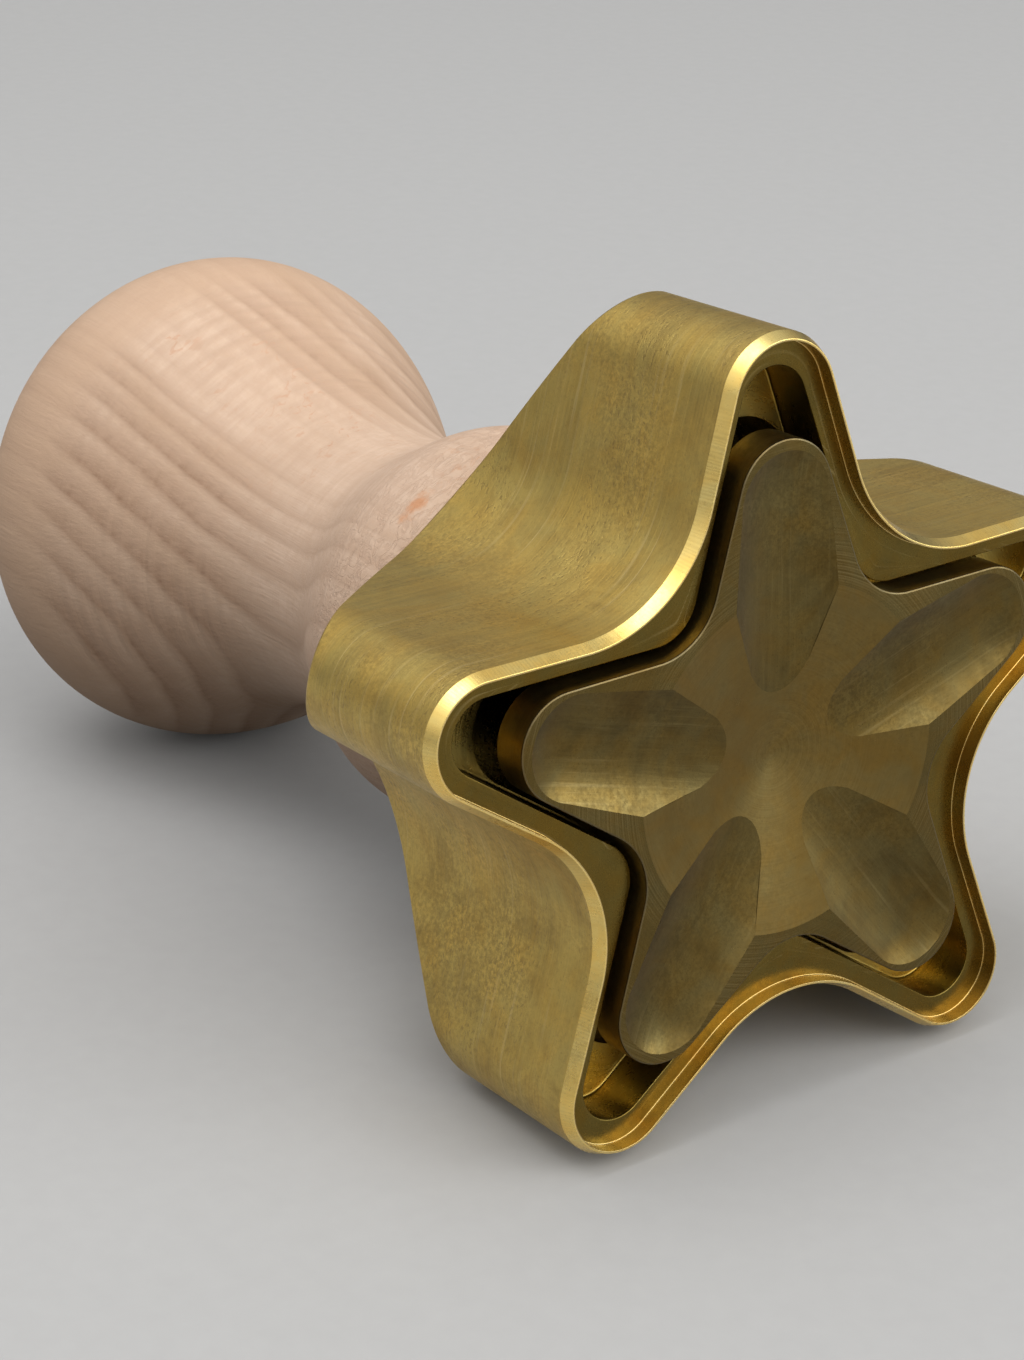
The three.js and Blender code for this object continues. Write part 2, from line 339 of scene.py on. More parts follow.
def star_half(tip, tip_round, hollow, hollow_round, steps=(16, 8, 16)):
    """Half a lobe's outline, from the tip to the middle of the hollow: an arc, a line and an arc."""
    step = tau / LOBES
    reach = hollow + hollow_round
    tip_centre = np.array((tip - tip_round, 0.0))
    hollow_centre = np.array((reach * cos(step / 2), reach * sin(step / 2)))
    between = hollow_centre - tip_centre
    normal = atan2(between[1], between[0]) - acos((tip_round + hollow_round) / np.linalg.norm(between))
    points = []
    for angle in np.linspace(0, normal, steps[0] + 1):
        points.append(tip_centre + tip_round * np.array((cos(angle), sin(angle))))
    start = points[-1]
    end = hollow_centre - hollow_round * np.array((cos(normal), sin(normal)))
    for share in np.linspace(0, 1, steps[1] + 1)[1:]:
        points.append(start + (end - start) * share)
    for angle in np.linspace(normal, step / 2, steps[2] + 1)[1:]:
        points.append(hollow_centre - hollow_round * np.array((cos(angle), sin(angle))))
    return np.array(points)


def all_round(half):
    """A closed outline from half a lobe, which starts and ends at the hollow that points down."""
    mirrored = half[::-1] * (1, -1)
    lobe = np.vstack((mirrored, half[1:-1]))
    points = []
    for k in range(LOBES):
        turn = (k + 3) * tau / LOBES
        turned = np.array(((cos(turn), sin(turn)), (-sin(turn), cos(turn))))
        points.extend(lobe @ turned)
    points.append(points[0])
    return np.array(points)


def at_depth(outline, depth):
    """An outline laid at a depth behind the rim, which may differ from point to point."""
    return np.column_stack((outline, -np.broadcast_to(depth, len(outline))))


def lengths(outline):
    """Length along an outline at each of its points."""
    return np.concatenate(((0,), np.cumsum(np.linalg.norm(np.diff(outline, axis=0), axis=1))))


def ring(radius, depth, columns=96, angles=None):
    """Closed circle about the tool's axis."""
    if angles is None:
        angles = np.linspace(pi, pi + tau, columns + 1)
    radius = np.broadcast_to(radius, len(angles))
    depth = np.broadcast_to(depth, len(angles))
    return np.column_stack((radius * np.cos(angles), radius * np.sin(angles), -depth))


def circles(profile, columns):
    """Closed circles at the (radius, depth) points of a turned profile."""
    return [ring(radius, depth, columns) for radius, depth in profile]


def inset_half(tip, tip_round, hollow, hollow_round, inset):
    """Half a lobe's outline, moved inwards by an inset, or outwards by a negative one."""
    return star_half(tip - inset, tip_round - inset, hollow - inset, hollow_round + inset)


def cutter_body(finishes):
    """Star cutter: bevelled rim, sealing ledge, pocket with shelves, plate cavity, bores and conical back.

    The finishes are those of the wall, bevel, lip, ledge and pocket.
    """
    skin = Skin()
    wall, bevel, lip, ledge, pocket = range(5)

    def rim(inset, depth):
        half = inset_half(RIM_TIP, RIM_TIP_ROUND, RIM_HOLLOW, RIM_HOLLOW_ROUND, inset)
        return at_depth(all_round(half), depth)

    def well(inset, depth):
        half = inset_half(POCKET_TIP, POCKET_TIP_ROUND, POCKET_HOLLOW, POCKET_HOLLOW_ROUND, inset)
        return at_depth(all_round(half), depth)

    def cavity(depth):
        half = inset_half(PLATE_TIP, PLATE_TIP_ROUND, PLATE_HOLLOW, PLATE_HOLLOW_ROUND, -POCKET_CLEARANCE)
        return at_depth(all_round(half), depth)

    outline = rim(0, 0)[:, :2]
    us = lengths(outline)
    reach = np.linalg.norm(outline, axis=1)
    angles = np.arctan2(outline[:, 1], outline[:, 0])

    def back(radius, forward=0.0):
        return ring(radius, LOBE_WALL + BACK_SLOPE * (RIM_TIP - radius) - forward, angles=angles)

    # Outside, from the middle of the land over the bevel and the back to the bottom of the stud's hole
    land = BEVEL_WIDTH + RIM_LAND / 2
    rows = []
    kinds = []
    outside = soften(
        [
            (land, 0, 0),
            (BEVEL_WIDTH, 0, LAND_ROUND),
            (0, BEVEL_HEIGHT, BEVEL_ROUND),
            (0, 2 * BEVEL_HEIGHT, 0),
        ]
    )
    for inset, depth in outside:
        rows.append(rim(inset, depth))
        kinds.append(bevel if depth < BEVEL_HEIGHT else wall)
    rows.append(back(reach, BACK_EDGE))
    rows.append(back(reach - 0.24 * BACK_EDGE, 0.2 * BACK_EDGE))
    rows.append(back(reach - BACK_EDGE))
    for share in (0.75, 0.5, 0.25, 0.02):
        rows.append(back(BACK_RADIUS + (reach - BACK_RADIUS) * share))
    hole = STUD_RADIUS + SLIDING
    flat = [
        (BACK_RADIUS - BACK_CORNER, BACK_DEPTH),
        (hole + HOLE_CHAMFER, BACK_DEPTH),
        (hole, BACK_DEPTH - HOLE_CHAMFER),
        (hole, BORE_DEPTH),
    ]
    for radius, depth in flat:
        rows.append(ring(radius, depth, angles=angles))
    kinds.extend([wall] * (len(rows) - len(kinds)))
    skin.grid(rows, us, kinds)

    # Inside, from the middle of the land over the ledge, pocket, cavity and bore to the same place
    rows = []
    kinds = []
    rim_inset = BEVEL_WIDTH + RIM_LAND
    inside = soften(
        [
            (land, 0, 0),
            (rim_inset, 0, LAND_ROUND),
            (rim_inset, LEDGE_DEPTH, LEDGE_FILLET),
            (rim_inset + LEDGE_STRIP, LEDGE_DEPTH, 0),
        ],
        steps=6,
    )
    for inset, depth in inside:
        rows.append(rim(inset, depth))
        kinds.append(lip if depth < LEDGE_DEPTH else ledge)
    sunk = soften(
        [
            (-POCKET_LIP, LEDGE_DEPTH, 0),
            (0, LEDGE_DEPTH, POCKET_ROUND),
            (0, SHELF_DEPTH, SHELF_ROUND),
            (SHELF_STRIP, SHELF_DEPTH, 0),
        ]
    )
    for inset, depth in sunk:
        rows.append(well(inset, depth))
        kinds.append(ledge if depth < LEDGE_DEPTH + 0.2 * POCKET_ROUND else pocket)
    rows.extend((cavity(SHELF_DEPTH), cavity(SHELF_DEPTH + CAVITY_EDGE), cavity(CAVITY_DEPTH)))
    bore = [
        (SPRING_BORE + BORE_CHAMFER, CAVITY_DEPTH),
        (SPRING_BORE, CAVITY_DEPTH + BORE_CHAMFER),
        (SPRING_BORE, BORE_DEPTH),
        (hole, BORE_DEPTH),
    ]
    for radius, depth in bore:
        rows.append(ring(radius, depth, angles=angles))
    kinds.extend([pocket] * (len(rows) - len(kinds)))
    skin.grid(rows, us, kinds)
    return skin.build("cutter", finishes)


def scoop_height(x):
    """Height of the scoop's ball centre above the rim when it is at x along its lobe."""
    return SCOOP_RADIUS - SCOOP_END_DEPTH - SCOOP_SLOPE * (SCOOP_END - np.minimum(x, SCOOP_END))


def scoop_z(x, y):
    """Height of the scoop's surface."""
    past = np.maximum(x - SCOOP_END, 0)
    return scoop_height(x) - np.sqrt(SCOOP_RADIUS**2 - y**2 - past**2)


def dish_z(x, y):
    """Height of the dished centre's cone, whose point is eased."""
    eased = np.sqrt(x**2 + y**2 + DISH_EASE**2)
    return -DISH_DEPTH * (1 - eased / sqrt(DISH_RADIUS**2 + DISH_EASE**2))


def crossing(of, low, high):
    """Where a function that falls or rises through zero crosses it, by halving."""
    rising = of(high) > 0
    for _ in range(60):
        middle = (low + high) / 2
        if (of(middle) > 0) == rising:
            high = middle
        else:
            low = middle
    return (low + high) / 2


def scoop_edge(x):
    """Half the width of the scoop where its surface meets the flat margin."""
    past = np.maximum(x - SCOOP_END, 0)
    return np.sqrt(np.maximum(SCOOP_RADIUS**2 - scoop_height(x) ** 2 - past**2, 0))


def resampled(points, shares):
    """Points at shares of the length of a line of points."""
    along = lengths(points)
    wanted = np.asarray(shares) * along[-1]
    return np.column_stack([np.interp(wanted, along, points[:, k]) for k in range(points.shape[1])])


def ejector_plate(finishes):
    """Ejector plate: flat margin, five scoops, dished centre, eased edge, sides, back and drilled boss.

    The finishes are those of the margin, scoops, dish, sides and edge.
    """
    skin = Skin()
    margin, scooped, dished, sides, edge = range(5)
    corner_x = crossing(lambda x: np.hypot(x, scoop_edge(x)) - DISH_RADIUS, DISH_RADIUS / 2, DISH_RADIUS)
    corner = np.array((corner_x, scoop_edge(corner_x)))
    inner_x = crossing(lambda x: scoop_z(x, 0) - dish_z(x, 0), 0, DISH_RADIUS)
    half_step = pi / LOBES
    outer_count = 28
    arc_count = 14
    inner_count = 24

    # Edge of the scoop towards the margin, from the lobe's tip to the corner
    far = []
    for share in np.linspace(0, 1, outer_count + 1):
        x = SCOOP_REACH - (SCOOP_REACH - corner_x) * share**1.7
        far.append((x, scoop_edge(x)))
    # Edge of the scoop towards the dish, from the corner to its inner end
    near = []
    for share in np.linspace(1, 0, inner_count + 1):
        x = inner_x + (corner_x - inner_x) * share**1.5
        half_width = 0.0
        if share:
            half_width = crossing(lambda y, x=x: scoop_z(x, y) - dish_z(x, y), 0, corner[1] * 1.2)
        near.append((x, half_width))
    near[0] = tuple(corner)
    # Edge of the dish towards the margin, from the corner to the middle of the hollow
    start = atan2(corner[1], corner[0])
    arc = [DISH_RADIUS * np.array((cos(a), sin(a))) for a in np.linspace(start, half_step, arc_count + 1)]

    # The plate's outline, with its first share opposite the scoop and the rest opposite the dish
    by_scoop = 0.72
    shares = np.linspace(0, by_scoop, outer_count + 1)
    shares = np.concatenate((shares, np.linspace(by_scoop, 1, arc_count + 1)[1:]))
    half = star_half(PLATE_TIP, PLATE_TIP_ROUND, PLATE_HOLLOW, PLATE_HOLLOW_ROUND)
    eased = inset_half(PLATE_TIP, PLATE_TIP_ROUND, PLATE_HOLLOW, PLATE_HOLLOW_ROUND, PLATE_EDGE)
    outer = resampled(half, shares)
    inner = resampled(eased, shares)
    boundary = np.array(far + [tuple(p) for p in arc[1:]])

    # Texture offsets that keep the lobes and their halves from looking alike
    lobe_shift = 100.0
    half_shift = 40.0
    for k in range(LOBES):
        turn = k * tau / LOBES
        for sign in (1, -1):
            turned = np.array(((cos(turn), sin(turn)), (-sin(turn) * sign, cos(turn) * sign)))

            def placed(points, z):
                return np.column_stack((np.asarray(points) @ turned, np.broadcast_to(z, len(points))))

            shift = lobe_shift * k + half_shift * sign
            us = lengths(inner) * sign + shift
            rows = [placed(inner + (boundary - inner) * share, 0.0) for share in (0, 0.2, 0.5, 1)]
            skin.grid(rows, us, margin, patch=1)

            crease = np.array(near[::-1] + [tuple(p) for p in arc[1:]])
            rows = []
            for share in (0.02, 0.05, 0.1, 0.2, 0.3, 0.5, 1):
                points = crease * share
                rows.append(placed(points, dish_z(points[:, 0], points[:, 1])))
            rows.insert(0, placed(np.zeros_like(crease), dish_z(0.0, 0.0)))
            around = np.arctan2(crease[:, 1], crease[:, 0]) * DISH_RADIUS
            skin.grid(rows, around * sign + shift, dished, patch=2)

            across = np.array(near[::-1] + far[::-1][1:])
            rows = []
            for share in np.linspace(0, 1, 9):
                points = across * (1, share)
                rows.append(placed(points, scoop_z(points[:, 0], points[:, 1])))
            skin.grid(rows, across[:, 0] + shift, scooped, patch=3 + k)

    out = all_round(outer)
    eased_out = all_round(inner)
    between = all_round(inner + (outer - inner) * 0.7)
    us = lengths(out)
    angles = np.arctan2(out[:, 1], out[:, 0])
    rows = [at_depth(eased_out, 0), at_depth(between, PLATE_EDGE * 0.3), at_depth(out, PLATE_EDGE)]
    rows.append(at_depth(out, PLATE_THICKNESS - PLATE_EDGE))
    rows.append(at_depth(eased_out, PLATE_THICKNESS))
    skin.grid(rows, us, [edge, edge, sides, sides])
    rows = [at_depth(eased_out, PLATE_THICKNESS)]
    boss = soften(
        [
            (BOSS_RADIUS * 1.5, PLATE_THICKNESS, 0),
            (BOSS_RADIUS, PLATE_THICKNESS, BOSS_FILLET),
            (BOSS_RADIUS, BOSS_DEPTH, BOSS_EDGE),
            (STEM_HOLE, BOSS_DEPTH, BOSS_HOLE_EDGE),
            (STEM_HOLE, PLATE_THICKNESS + BOSS_FLOOR, 0),
            (0, PLATE_THICKNESS + BOSS_FLOOR, 0),
        ]
    )
    for radius, depth in boss:
        rows.append(ring(radius, depth, angles=angles))
    skin.grid(rows, us, sides)
    return skin.build("ejector_face_plate", finishes)


def handle_profile():
    """Outside of the handle from its front to the end of the knob, as (radius, depth) points."""

    def swell(start, end, share):
        return start + (end - start) * (1 - cos(pi * share)) / 2

    points = [(COLLAR_FRONT, HANDLE_FRONT)]
    for share in np.linspace(0, 1, 17)[1:-1]:
        angle = share * pi / 2
        radius = COLLAR_FRONT + (COLLAR_RADIUS - COLLAR_FRONT) * sin(angle)
        points.append((radius, HANDLE_FRONT + COLLAR_TO_FRONT * (1 - cos(angle))))
    for share in np.linspace(0, 1, 33)[:-1]:
        points.append((swell(COLLAR_RADIUS, NECK_RADIUS, share), COLLAR_DEPTH + NECK_TO_COLLAR * share))
    for share in np.linspace(0, 1, 49)[:-1]:
        radius = swell(NECK_RADIUS, KNOB_RADIUS, share**KNOB_FULLNESS)
        points.append((radius, NECK_DEPTH + KNOB_TO_NECK * share))
    for share in np.linspace(0, 1, 33):
        angle = share * pi / 2
        points.append((KNOB_RADIUS * cos(angle), KNOB_DEPTH + KNOB_END * sin(angle)))
    return points


def wooden_handle(wood):
    """Turned handle with its stepped bore."""
    skin = Skin()
    columns = 160
    bore = INSERT_RADIUS + SLIDING
    inside = [
        (0, CHAMBER_BACK),
        (CHAMBER_RADIUS, CHAMBER_BACK),
        (CHAMBER_RADIUS, INSERT_BACK + SEAT_GAP),
        (bore, INSERT_BACK + SEAT_GAP),
        (bore, HANDLE_FRONT + HOLE_CHAMFER),
        (bore + HOLE_CHAMFER, HANDLE_FRONT),
    ]
    rows = circles(inside + handle_profile(), columns)
    skin.grid(rows, np.linspace(0, tau * KNOB_RADIUS, columns + 1), 0)
    return skin.build("turned_handle", [wood], sharp=40)


def threaded(radius, cut, pitch, front, back, columns=48, per_turn=10):
    """Rows of an outside screw thread whose crests lie at the radius."""
    angles = np.linspace(pi, pi + tau, columns + 1)
    rows = []
    count = max(int((back - front) / pitch * per_turn), 2)
    for depth in np.linspace(front, back, count + 1):
        wave = np.abs(((depth / pitch - angles / tau) % 1) * 2 - 1)
        crest = np.clip(wave * 1.4 - 0.2, 0, 1)
        rows.append(ring(radius - cut * crest, depth, angles=angles))
    return rows


def stem(steel):
    """Stem with a thread at both ends and a plain, polished middle."""
    skin = Skin()
    columns = 48
    root = STEM_RADIUS - STEM_CUT
    plain = STEM_RADIUS - POLISHED_OFF
    grip_front = JAM_NUT_FRONT + JAM_NUT + THREAD_PAST_NUT
    grip_back = STOP_WASHER_FRONT - THREAD_PAST_NUT
    front = [(0, STEM_FRONT), (root - STEM_CHAMFER, STEM_FRONT), (root, STEM_FRONT + STEM_CHAMFER)]
    middle = [
        (root, grip_front + THREAD_RUN_IN),
        (plain, grip_front + THREAD_RUN_OUT),
        (plain, grip_back - THREAD_RUN_OUT),
        (root, grip_back - THREAD_RUN_IN),
    ]
    back = [(root, STEM_BACK - STEM_CHAMFER), (root - STEM_CHAMFER, STEM_BACK), (0, STEM_BACK)]
    rows = circles(front, columns)
    start = STEM_FRONT + STEM_CHAMFER + THREAD_RUN_IN
    rows += threaded(STEM_RADIUS, STEM_CUT, STEM_PITCH, start, grip_front, columns)
    rows += circles(middle, columns)
    end = STEM_BACK - STEM_CHAMFER - 2 * THREAD_RUN_IN
    rows += threaded(STEM_RADIUS, STEM_CUT, STEM_PITCH, grip_back, end, columns)
    rows += circles(back, columns)
    skin.grid(rows, np.linspace(0, tau * STEM_RADIUS, columns + 1), 0)
    return skin.build("threaded_stem", [steel])


def tube(name, inner, outer, front, back, material, outside=None):
    """Tube with eased edges. Rows of its outside can be given instead of a plain one."""
    skin = Skin()
    columns = 48
    eased = TUBE_EDGE
    middle = (front + back) / 2
    if outside is None:
        outside = circles([(outer, front + eased), (outer, back - eased)], columns)
    before = [(inner, middle), (inner, front + eased), (inner + eased, front), (outer - eased, front)]
    after = [(outer - eased, back), (inner + eased, back), (inner, back - eased), (inner, middle)]
    rows = circles(before, columns) + outside + circles(after, columns)
    skin.grid(rows, np.linspace(0, tau * outer, columns + 1), 0)
    return skin.build(name, [material])


def nut(name, front, back, material):
    """Hexagon nut with chamfered corners and a countersunk hole."""
    skin = Skin()
    columns = 96
    angles = np.linspace(pi, pi + tau, columns + 1)
    sixth = pi / 3
    off_flat = (angles + sixth / 2) % sixth - sixth / 2
    hexagon = NUT_FLATS / 2 / np.cos(off_flat)
    flat = NUT_FLATS / 2
    chamfer = NUT_EDGE + (hexagon - flat) * NUT_CHAMFER
    middle = (front + back) / 2
    levels = [
        (STEM_HOLE, middle),
        (STEM_HOLE, front + NUT_SUNK),
        (STEM_HOLE + NUT_SUNK, front),
        (flat - NUT_EDGE, front),
        (flat, front + NUT_BREAK),
        (hexagon, front + chamfer),
        (hexagon, back - chamfer),
        (flat, back - NUT_BREAK),
        (flat - NUT_EDGE, back),
        (STEM_HOLE + NUT_SUNK, back),
        (STEM_HOLE, back - NUT_SUNK),
        (STEM_HOLE, middle),
    ]
    rows = [ring(radius, depth, angles=angles) for radius, depth in levels]
    skin.grid(rows, np.linspace(0, tau * flat, columns + 1), 0)
    return skin.build(name, [material], sharp=25)


def spring(steel):
    """Compression spring with a closed, flattened coil at each end."""
    skin = Skin()
    wire = WIRE / 2
    front = PLATE_THICKNESS + SEAT_GAP + wire
    back = WASHER_FRONT - SEAT_GAP - wire
    steps = 360
    sides = 14
    around = np.linspace(0, tau, sides + 1)
    closed = WIRE * CLOSED_COIL
    rows = []
    open_turns = SPRING_TURNS - 2
    pitch = (back - front - 2 * closed) / open_turns
    for share in np.linspace(0, 1, steps + 1):
        turn = share * SPRING_TURNS
        depth = front + closed * min(turn, 1) + pitch * min(max(turn - 1, 0), open_turns)
        depth += closed * max(turn - 1 - open_turns, 0)
        angle = tau * turn
        out = np.array((cos(angle), sin(angle), 0))
        centre = out * SPRING_RADIUS + np.array((0, 0, -depth))
        rows.append(centre + wire * (np.outer(np.cos(around), out) + np.outer(np.sin(around), (0, 0, 1))))
    ends = [np.tile(row[:-1].mean(axis=0), (sides + 1, 1)) for row in (rows[0], rows[-1])]
    skin.grid([ends[0], *rows, ends[1]], around * wire, 0)
    return skin.build("coil_spring", [steel])


# Materials


class Shader:
    """A material's node tree, with short ways to add and link nodes."""

    def __init__(self, name):
        self.material = bpy.data.materials.new(name)
        self.material.use_nodes = True
        self.tree = self.material.node_tree
        self.surface = self.tree.nodes["Principled BSDF"]

    def put(self, node, socket, value):
        """Links an output to a socket, or sets the socket's own value. Colours are given without alpha."""
        target = node.inputs[socket]
        if isinstance(value, bpy.types.NodeSocket):
            self.tree.links.new(value, target)
        else:
            target.default_value = (*value, 1) if target.type == "RGBA" else value

    def add(self, kind, sockets=None, **settings):
        node = self.tree.nodes.new(kind)
        for name, value in settings.items():
            setattr(node, name, value)
        for socket, value in (sockets or {}).items():
            self.put(node, socket, value)
        return node

    def coordinates(self, kind, scale):
        """Texture coordinates, scaled along each axis."""
        source = self.add("ShaderNodeTexCoord").outputs[kind]
        return self.add("ShaderNodeMapping", {"Vector": source, "Scale": scale}).outputs["Vector"]

    def noise(self, vector, scale=1.0, detail=4.0, roughness=0.55, distortion=0.0):
        sockets = {"Vector": vector, "Scale": scale, "Detail": detail, "Roughness": roughness}
        sockets["Distortion"] = distortion
        return self.add("ShaderNodeTexNoise", sockets).outputs["Fac"]

    def ramp(self, value, stops):
        """Maps a value to colours. Each stop is (position, colour)."""
        node = self.add("ShaderNodeValToRGB", {"Fac": value})
        while len(node.color_ramp.elements) < len(stops):
            node.color_ramp.elements.new(0.5)
        for element, (position, colour) in zip(node.color_ramp.elements, stops):
            element.position = position
            element.color = (*colour, 1)
        return node.outputs["Color"]

    def between(self, value, low, high, to_low=0.0, to_high=1.0):
        """Maps a value from one range to another, held at the ends."""
        sockets = {"Value": value, "From Min": low, "From Max": high, "To Min": to_low, "To Max": to_high}
        return self.add("ShaderNodeMapRange", sockets).outputs["Result"]

    def math(self, operation, one, two=0.0):
        node = self.add("ShaderNodeMath", operation=operation)
        self.put(node, 0, one)
        self.put(node, 1, two)
        return node.outputs["Value"]

    def times(self, one, two):
        return self.math("MULTIPLY", one, two)

    def plus(self, one, two):
        return self.math("ADD", one, two)

    def parts(self, vector):
        """The X, Y and Z of a vector."""
        return self.add("ShaderNodeSeparateXYZ", {"Vector": vector}).outputs

    def radius(self):
        """Distance from the tool's axis, in millimetres."""
        node = self.add("ShaderNodeVectorMath", operation="LENGTH")
        self.put(node, 0, self.coordinates("Object", (1000, 1000, 0)))
        return node.outputs["Value"]

    def mix(self, share, one, two, blend="MIX"):
        node = self.add("ShaderNodeMix", data_type="RGBA", blend_type=blend)
        self.put(node, 0, share)
        self.put(node, 6, one)
        self.put(node, 7, two)
        return node.outputs[2]

    def bump(self, height, distance, strength=1.0, below=None):
        sockets = {"Height": height, "Distance": distance, "Strength": strength}
        if below is not None:
            sockets["Normal"] = below
        return self.add("ShaderNodeBump", sockets).outputs["Normal"]

    def finish(self, **sockets):
        names = {"colour": "Base Color", "roughness": "Roughness", "normal": "Normal", "metal": "Metallic"}
        names.update({"stretch": "Anisotropic", "turn": "Anisotropic Rotation", "tangent": "Tangent"})
        names["specular"] = "Specular IOR Level"
        for name, value in sockets.items():
            self.put(self.surface, names[name], value)
        return self.material


def scratched(s):
    """Sparse scratches that follow the outline."""
    lines = s.noise(s.coordinates("UV", (0.045, 2.1, 1)), 1.0, 3, 0.6, 0.2)
    where = s.noise(s.coordinates("UV", (0.05, 0.12, 1)), 1.0, 2)
    return s.times(s.between(lines, 0.57, 0.68), s.between(where, 0.42, 0.6))


def hatched(s):
    """Patches of short pits, as a worn cutter tears them."""
    pits = s.noise(s.coordinates("UV", (2.0, 3.6, 1)), 1.0, 3, 0.6, 0.5)
    where = s.noise(s.coordinates("UV", (0.07, 0.13, 1)), 1.0, 3)
    return s.times(s.between(pits, 0.47, 0.33), s.between(where, 0.44, 0.6, 0.1, 1.0))


def chattered(s):
    """Ridges across the rim in some stretches, as a shaking cutter leaves them."""
    along = s.parts(s.coordinates("UV", (1, 1, 1)))["X"]
    uneven = s.between(s.noise(s.coordinates("UV", (0.8, 0, 0)), 1.0, 2), 0, 1, -0.5, 0.5)
    ridges = s.math("SINE", s.times(s.plus(along, uneven), tau / CHATTER_PITCH))
    where = s.noise(s.coordinates("UV", (0.085, 0, 0)), 1.0, 2)
    return s.times(s.between(ridges, -0.6, 0.9), s.between(where, 0.4, 0.58))


def faced(s):
    """Rings about the tool's axis, as a facing tool leaves them, clearer in some places."""
    across = s.math("DIVIDE", s.radius(), FACING_PITCH)
    rings = s.noise(s.add("ShaderNodeCombineXYZ", {"X": across}).outputs["Vector"], 1.0, 2, 0.5)
    where = s.noise(s.coordinates("Object", (90, 90, 90)), 1.0, 2)
    return s.times(s.between(rings, 0.42, 0.62), s.between(where, 0.38, 0.6, 0.15, 1.0))


def worn_edge_and_highlight(s):
    """Worn edge along the rim's land, where the texture's v starts, wider at its nicks. Its lighter tone is
    partly a painted highlight.
    """
    across = s.parts(s.coordinates("UV", (1, 1, 1)))["Y"]
    nicks = s.noise(s.coordinates("UV", (1.1, 0, 0)), 1.0, 4, 0.8)
    reach = s.between(nicks, 0.5, 0.72, 0.3, 1.4)
    return s.between(s.math("DIVIDE", across, reach), 0.5 * EDGE_WEAR_AND_HIGHLIGHT, EDGE_WEAR_AND_HIGHLIGHT, 1.0, 0.0)


def brass(
    name, tones, rough, lines, depth, stretch=0.3, turn=0.0, stains=0.35, speckle=0.3, film=1.0, marks=()
):
    """Machined brass: a clouded tone, stains, fine tool lines along the texture's axes, film, pits and marks.

    The tones are bright, dull and stained. Each mark is (its mask, its tone, how much of it shows).
    """
    s = Shader(name)
    bright, dull, stain = tones
    place = s.coordinates("Object", (1000, 1000, 1000))
    along = s.coordinates("UV", lines)
    clouds = s.noise(place, 0.075, 5, 0.6, 0.4)
    patches = s.noise(place, 0.19, 6, 0.62, 0.8)
    grain = s.noise(place, 2.4, 3, 0.7)
    strokes = s.plus(s.noise(along, 1.0, 4, 0.65), s.noise(along, 0.22, 3, 0.6))
    pits = s.noise(place, 5.5, 2, 0.5)
    hues = s.noise(s.coordinates("Object", (230, 230, 230)), 1.0, 4, 0.6, 0.6)
    tone = s.mix(s.between(clouds, 0.35, 0.65), dull, bright)
    tone = s.mix(s.between(patches, 0.44, 0.66, 0, stains), tone, stain)
    tone = s.mix(s.between(strokes, 0.8, 1.3, 0.0, 0.45), tone, bright)
    speckled = s.between(clouds, 0.42, 0.6, 0.2 * speckle, speckle)
    speckled = s.times(s.between(grain, 0.38, 0.62), speckled)
    tone = s.mix(speckled, tone, stain)
    tone = s.mix(s.between(pits, 0.3, 0.38, 0.4, 0.0), tone, stain)
    tint = s.mix(s.between(hues, 0.35, 0.65), WARM_FILM, COOL_FILM)
    tone = s.mix(film, tone, tint, "MULTIPLY")
    height = s.plus(strokes, s.times(grain, 0.3))
    for mark, colour, share in marks:
        mask = mark(s)
        tone = s.mix(s.times(mask, share), tone, colour)
        height = s.plus(height, s.times(mask, -share))
    haze = s.between(s.plus(patches, grain), 0.7, 1.3, rough - 0.07, rough + 0.07)
    haze = s.plus(haze, s.between(strokes, 0.7, 1.3, -0.03, 0.03))
    tangent = s.add("ShaderNodeTangent", direction_type="UV_MAP", uv_map="UVMap").outputs["Tangent"]
    s.finish(stretch=stretch, turn=turn, tangent=tangent, metal=1.0)
    return s.finish(colour=tone, roughness=haze, normal=s.bump(height, depth))


def ray_fleck(s, grain):
    """One large ray that shows as a brown fleck on the collar."""
    off = s.add("ShaderNodeVectorMath", operation="SUBTRACT")
    s.put(off, 0, grain)
    s.put(off, 1, GRAIN_LIE.to_matrix() @ RAY_FLECK)
    share = s.add("ShaderNodeVectorMath", operation="DIVIDE")
    s.put(share, 0, off.outputs["Vector"])
    s.put(share, 1, RAY_FLECK_REACH)
    reach = s.add("ShaderNodeVectorMath", operation="LENGTH")
    s.put(reach, 0, share.outputs["Vector"])
    ragged = s.plus(reach.outputs["Value"], s.between(s.noise(grain, 1.1, 3), 0.3, 0.7, -0.5, 0.5))
    return s.between(ragged, 0.2, 1.05, 0.95, 0.0)


